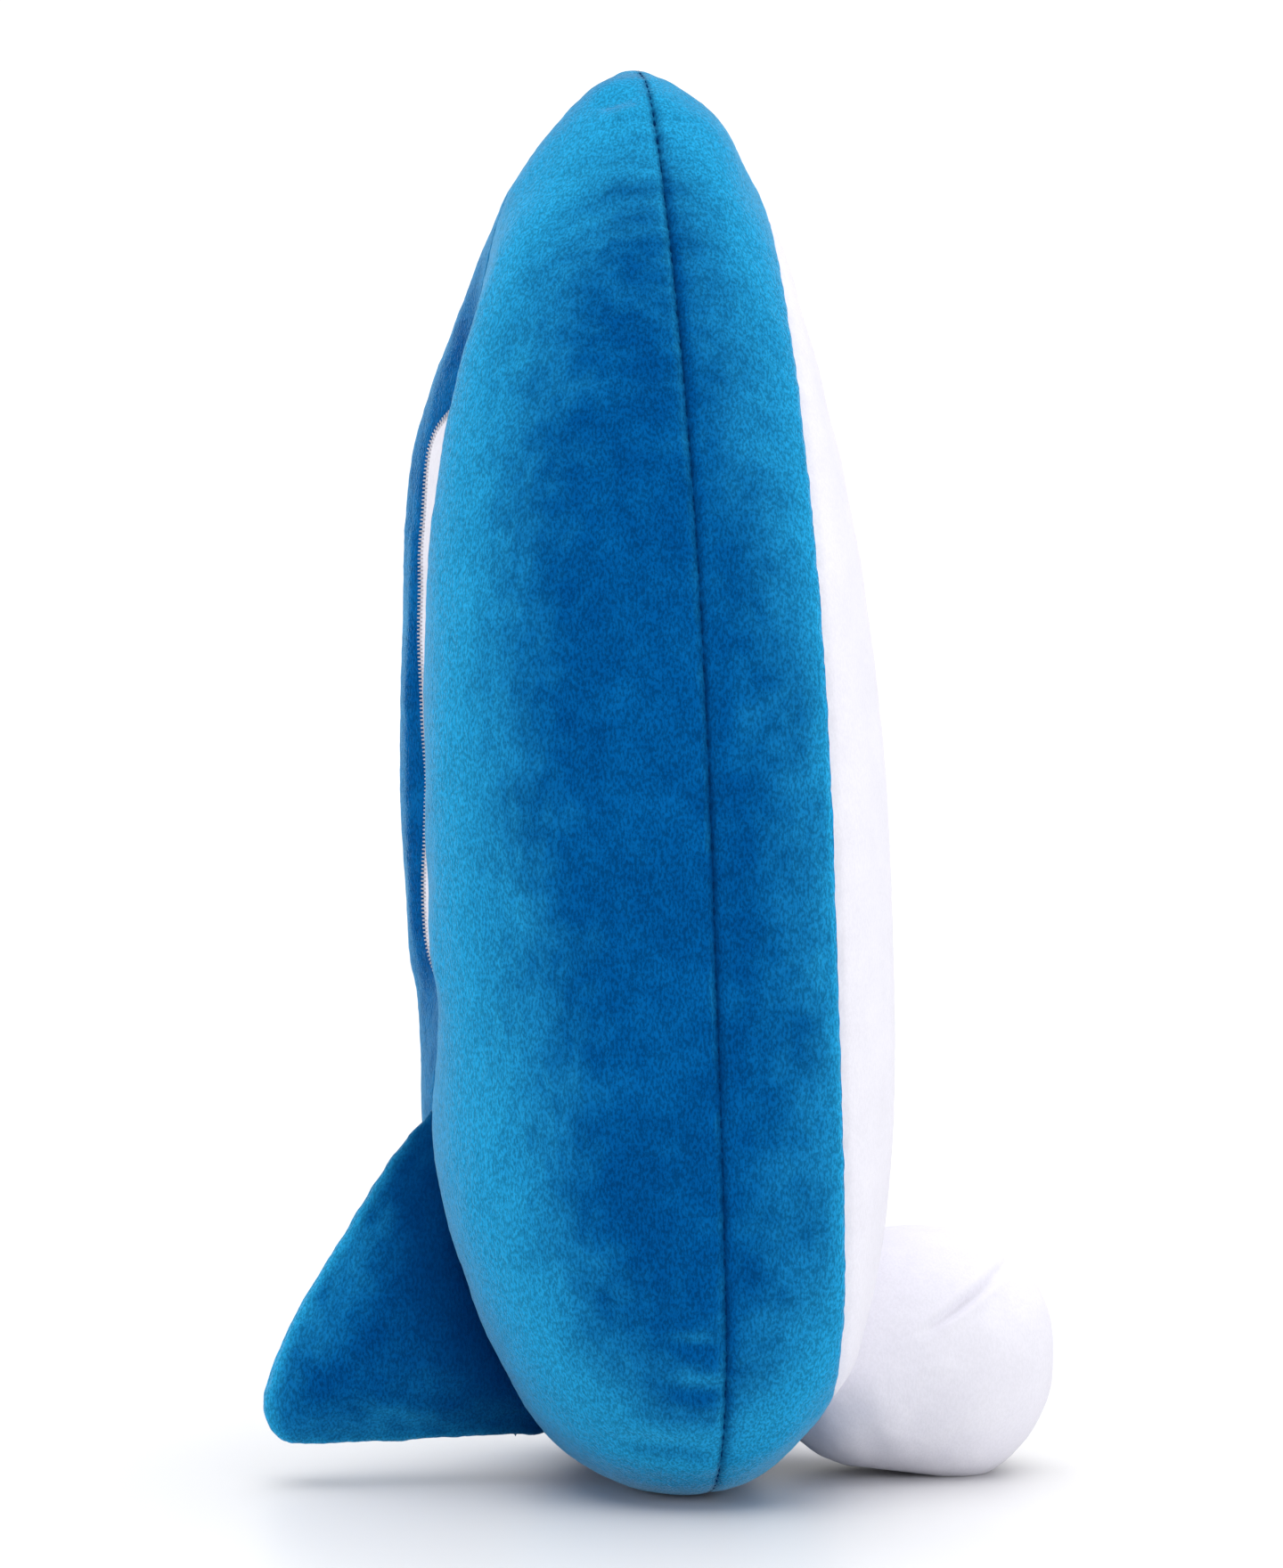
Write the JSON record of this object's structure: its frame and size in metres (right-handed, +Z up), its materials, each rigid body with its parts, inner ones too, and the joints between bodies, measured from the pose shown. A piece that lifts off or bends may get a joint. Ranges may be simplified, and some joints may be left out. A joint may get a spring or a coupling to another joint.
{
  "type": "plush surfboard",
  "caption": "Stuffed plush surfboard that stands on its tail: white domed deck, blue rail bands and bottom, a soft fin that flops sideways and a round white foot at the tail.",
  "frame": {"origin": "middle of the standing toy's footprint box, on the floor", "axes": "+Z up from the tail to the nose, +X out of the white deck on the foot's side, -X out of the blue bottom on the fin's side, Y across the board"},
  "size_m": [0.2038, 0.1598, 0.3567],
  "materials": {
    "blue_plush": "short soft pile",
    "white_plush": "short soft pile",
    "stuffing": "loose fibre fill",
    "blue_thread": "satin thread",
    "white_thread": "satin thread"
  },
  "bodies": {
    "board": {"deck_panel": "white_plush", "rail_band_right": "blue_plush", "rail_band_left": "blue_plush", "bottom_panel_right": "blue_plush", "bottom_panel_left": "blue_plush", "board_stuffing": "stuffing", "bottom_seam_thread_right": "blue_thread", "bottom_seam_thread_left": "blue_thread", "deck_seam_thread_right": "blue_thread", "deck_seam_thread_left": "blue_thread", "centre_seam_thread": "blue_thread", "nose_join_thread": "blue_thread", "tail_join_thread": "blue_thread", "bottom_patch": "white_plush", "patch_stitching": "white_thread", "foot_panel_right": "white_plush", "foot_panel_left": "white_plush", "foot_stuffing": "stuffing", "foot_seam_thread": "white_thread", "foot_root_stitching": "white_thread"},
    "fin": {"fin_panel_right": "blue_plush", "fin_panel_left": "blue_plush", "fin_stuffing": "stuffing", "fin_seam_thread": "blue_thread"}
  },
  "joints": [
    {"name": "fin_flex", "type": "hinge", "parent": "board", "child": "fin", "pos_m": [-0.06481, 0, 0.09014], "axis": [0.3646, 0, -0.9312], "range_deg": [-30, 30], "stiffness_Nm_per_rad": 0.03}
  ]
}
